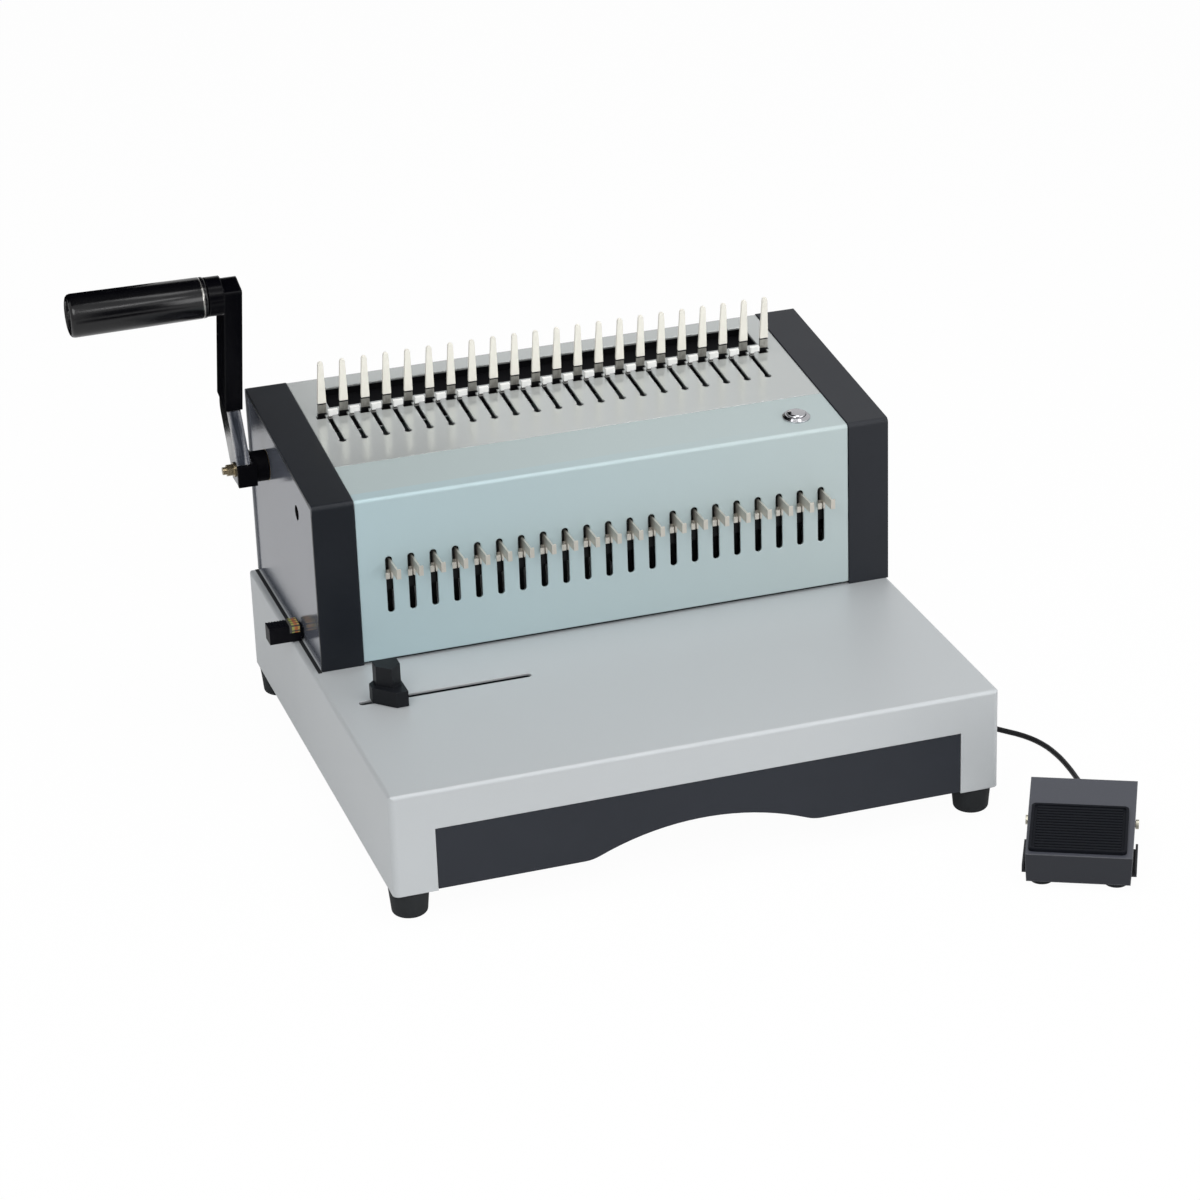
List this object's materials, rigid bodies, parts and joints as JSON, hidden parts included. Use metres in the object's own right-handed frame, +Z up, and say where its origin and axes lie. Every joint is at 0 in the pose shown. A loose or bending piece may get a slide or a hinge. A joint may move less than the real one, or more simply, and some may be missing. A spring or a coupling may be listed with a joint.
{
  "type": "comb binding machine",
  "caption": "Electric comb binding machine on a sheet-metal base with a chip drawer, ring-opening lever, punch selectors and a wired foot switch.",
  "frame": {"origin": "on the surface that the machine stands on, midway between its four rubber feet", "axes": "+X to the operator's right along the punch, +Y to the back, +Z up"},
  "size_m": [0.5685, 0.539, 0.3091],
  "materials": {
    "sheet_base": "satin fine-textured silver paint",
    "sheet_cover": "satin silver paint",
    "sheet_top": "satin silver paint",
    "side_grey": "satin mid-grey paint",
    "trim_dark": "matt dark grey moulding",
    "panel_grey": "satin dark grey paint",
    "zinc": "zinc-plated steel",
    "white_plate": "off-white painted steel",
    "tool_steel": "ground steel",
    "chromed": "bright chrome",
    "brassy": "yellow zinc plating",
    "bronze": "sintered bronze",
    "rubber_black": "matt black rubber",
    "plastic_black": "matt black plastic",
    "grip_black": "soft matt black",
    "pad_black": "ribbed black rubber",
    "pedal_grey": "satin dark grey paint",
    "lead_black": "smooth black jacket",
    "switch_black": "glossy black plastic"
  },
  "bodies": {
    "machine": {"base_tray": "sheet_base", "rubber_feet": "rubber_black", "side_plate_left": "side_grey", "side_plate_right": "side_grey", "end_trim_left": "trim_dark", "end_trim_right": "trim_dark", "front_cover": "sheet_cover", "top_plate": "sheet_top", "back_panel": "sheet_cover", "comb_fingers": "white_plate", "comb_tray": "plastic_black", "shaft_bushes": "bronze", "die_block": "tool_steel", "punch_motor": "panel_grey", "button_bezel": "chromed", "mains_inlet": "plastic_black", "cover_screws": "zinc", "pedal_base": "plastic_black", "pedal_pin": "zinc", "lead_glands": "rubber_black", "pedal_lead": "lead_black", "pedal_lead_coil": "lead_black"},
    "lever": {"lever_shaft": "tool_steel", "lever_hub": "plastic_black", "lever_bar": "chromed", "lever_sleeve": "plastic_black", "lever_bolt": "brassy"},
    "grip": {"lever_grip": "grip_black"},
    "hooks": {"hook_carriage": "zinc"},
    "punch": {"punch_bar": "tool_steel", "punch_pins": "tool_steel"},
    "cams": {"cam_shaft": "tool_steel"},
    "drawer": {"chip_drawer": "panel_grey"},
    "guide": {"edge_guide": "plastic_black"},
    "depth": {"depth_control": "plastic_black"},
    "button": {"push_button": "chromed"},
    "switch": {"power_rocker": "switch_black"},
    "pedal": {"treadle": "pedal_grey", "treadle_pad": "pad_black"},
    "selector_01": {"selector_01": "white_plate"},
    "selector_02": {"selector_02": "white_plate"},
    "selector_03": {"selector_03": "white_plate"},
    "selector_04": {"selector_04": "white_plate"},
    "selector_05": {"selector_05": "white_plate"},
    "selector_06": {"selector_06": "white_plate"},
    "selector_07": {"selector_07": "white_plate"},
    "selector_08": {"selector_08": "white_plate"},
    "selector_09": {"selector_09": "white_plate"},
    "selector_10": {"selector_10": "white_plate"},
    "selector_11": {"selector_11": "white_plate"},
    "selector_12": {"selector_12": "white_plate"},
    "selector_13": {"selector_13": "white_plate"},
    "selector_14": {"selector_14": "white_plate"},
    "selector_15": {"selector_15": "white_plate"},
    "selector_16": {"selector_16": "white_plate"},
    "selector_17": {"selector_17": "white_plate"},
    "selector_18": {"selector_18": "white_plate"},
    "selector_19": {"selector_19": "white_plate"},
    "selector_20": {"selector_20": "white_plate"},
    "selector_21": {"selector_21": "white_plate"}
  },
  "joints": [
    {"name": "lever_swing", "type": "hinge", "parent": "machine", "child": "lever", "pos_m": [0, 0.128, 0.176], "axis": [1, 0, 0], "range_deg": [0, 95]},
    {"name": "grip_spin", "type": "hinge", "parent": "lever", "child": "grip", "pos_m": [-0.26, 0.12478, 0.2953], "axis": [-1, 0, 0], "continuous": true},
    {"name": "hooks_slide", "type": "slide", "parent": "machine", "child": "hooks", "axis": [0, -0.9948, -0.1018], "range_m": [0, 0.03]},
    {"name": "cam_turn", "type": "hinge", "parent": "machine", "child": "cams", "pos_m": [0, 0.032, 0.1533], "axis": [-1, 0, 0], "range_deg": [0, 180.2]},
    {"name": "punch_slide", "type": "slide", "parent": "machine", "child": "punch", "axis": [0, 0, -1], "range_m": [0, 0.02]},
    {"name": "drawer_slide", "type": "slide", "parent": "machine", "child": "drawer", "axis": [0, -1, 0], "range_m": [0, 0.18]},
    {"name": "guide_slide", "type": "slide", "parent": "machine", "child": "guide", "axis": [1, 0, 0], "range_m": [-0.003, 0.075]},
    {"name": "depth_slide", "type": "slide", "parent": "machine", "child": "depth", "axis": [0, 1, 0], "range_m": [-0.002, 0.0025]},
    {"name": "button_press", "type": "slide", "parent": "machine", "child": "button", "axis": [0, 0.1018, -0.9948], "range_m": [0, 0.0025], "stiffness_N_per_m": 300, "springref_m": -0.002},
    {"name": "power_rock", "type": "hinge", "parent": "machine", "child": "switch", "pos_m": [0.1, 0.1685, 0.1345], "axis": [1, 0, 0], "range_deg": [0, 16]},
    {"name": "treadle_press", "type": "hinge", "parent": "machine", "child": "pedal", "pos_m": [0.22286, -0.23103, 0.015], "axis": [0.891, -0.454, 0], "range_deg": [0, 3], "stiffness_Nm_per_rad": 12, "springref_deg": -2.86},
    {"name": "selector_01_pull", "type": "slide", "parent": "punch", "child": "selector_01", "axis": [0, -1, 0], "range_m": [0, 0.006]},
    {"name": "selector_02_pull", "type": "slide", "parent": "punch", "child": "selector_02", "axis": [0, -1, 0], "range_m": [0, 0.006]},
    {"name": "selector_03_pull", "type": "slide", "parent": "punch", "child": "selector_03", "axis": [0, -1, 0], "range_m": [0, 0.006]},
    {"name": "selector_04_pull", "type": "slide", "parent": "punch", "child": "selector_04", "axis": [0, -1, 0], "range_m": [0, 0.006]},
    {"name": "selector_05_pull", "type": "slide", "parent": "punch", "child": "selector_05", "axis": [0, -1, 0], "range_m": [0, 0.006]},
    {"name": "selector_06_pull", "type": "slide", "parent": "punch", "child": "selector_06", "axis": [0, -1, 0], "range_m": [0, 0.006]},
    {"name": "selector_07_pull", "type": "slide", "parent": "punch", "child": "selector_07", "axis": [0, -1, 0], "range_m": [0, 0.006]},
    {"name": "selector_08_pull", "type": "slide", "parent": "punch", "child": "selector_08", "axis": [0, -1, 0], "range_m": [0, 0.006]},
    {"name": "selector_09_pull", "type": "slide", "parent": "punch", "child": "selector_09", "axis": [0, -1, 0], "range_m": [0, 0.006]},
    {"name": "selector_10_pull", "type": "slide", "parent": "punch", "child": "selector_10", "axis": [0, -1, 0], "range_m": [0, 0.006]},
    {"name": "selector_11_pull", "type": "slide", "parent": "punch", "child": "selector_11", "axis": [0, -1, 0], "range_m": [0, 0.006]},
    {"name": "selector_12_pull", "type": "slide", "parent": "punch", "child": "selector_12", "axis": [0, -1, 0], "range_m": [0, 0.006]},
    {"name": "selector_13_pull", "type": "slide", "parent": "punch", "child": "selector_13", "axis": [0, -1, 0], "range_m": [0, 0.006]},
    {"name": "selector_14_pull", "type": "slide", "parent": "punch", "child": "selector_14", "axis": [0, -1, 0], "range_m": [0, 0.006]},
    {"name": "selector_15_pull", "type": "slide", "parent": "punch", "child": "selector_15", "axis": [0, -1, 0], "range_m": [0, 0.006]},
    {"name": "selector_16_pull", "type": "slide", "parent": "punch", "child": "selector_16", "axis": [0, -1, 0], "range_m": [0, 0.006]},
    {"name": "selector_17_pull", "type": "slide", "parent": "punch", "child": "selector_17", "axis": [0, -1, 0], "range_m": [0, 0.006]},
    {"name": "selector_18_pull", "type": "slide", "parent": "punch", "child": "selector_18", "axis": [0, -1, 0], "range_m": [0, 0.006]},
    {"name": "selector_19_pull", "type": "slide", "parent": "punch", "child": "selector_19", "axis": [0, -1, 0], "range_m": [0, 0.006]},
    {"name": "selector_20_pull", "type": "slide", "parent": "punch", "child": "selector_20", "axis": [0, -1, 0], "range_m": [0, 0.006]},
    {"name": "selector_21_pull", "type": "slide", "parent": "punch", "child": "selector_21", "axis": [0, -1, 0], "range_m": [0, 0.006]}
  ],
  "couplings": [
    {"joint": "hooks_slide", "follows": "lever_swing", "m_per_rad": 0.018},
    {"joint": "cam_turn", "follows": "punch_slide", "rad_per_m": 157.08}
  ]
}
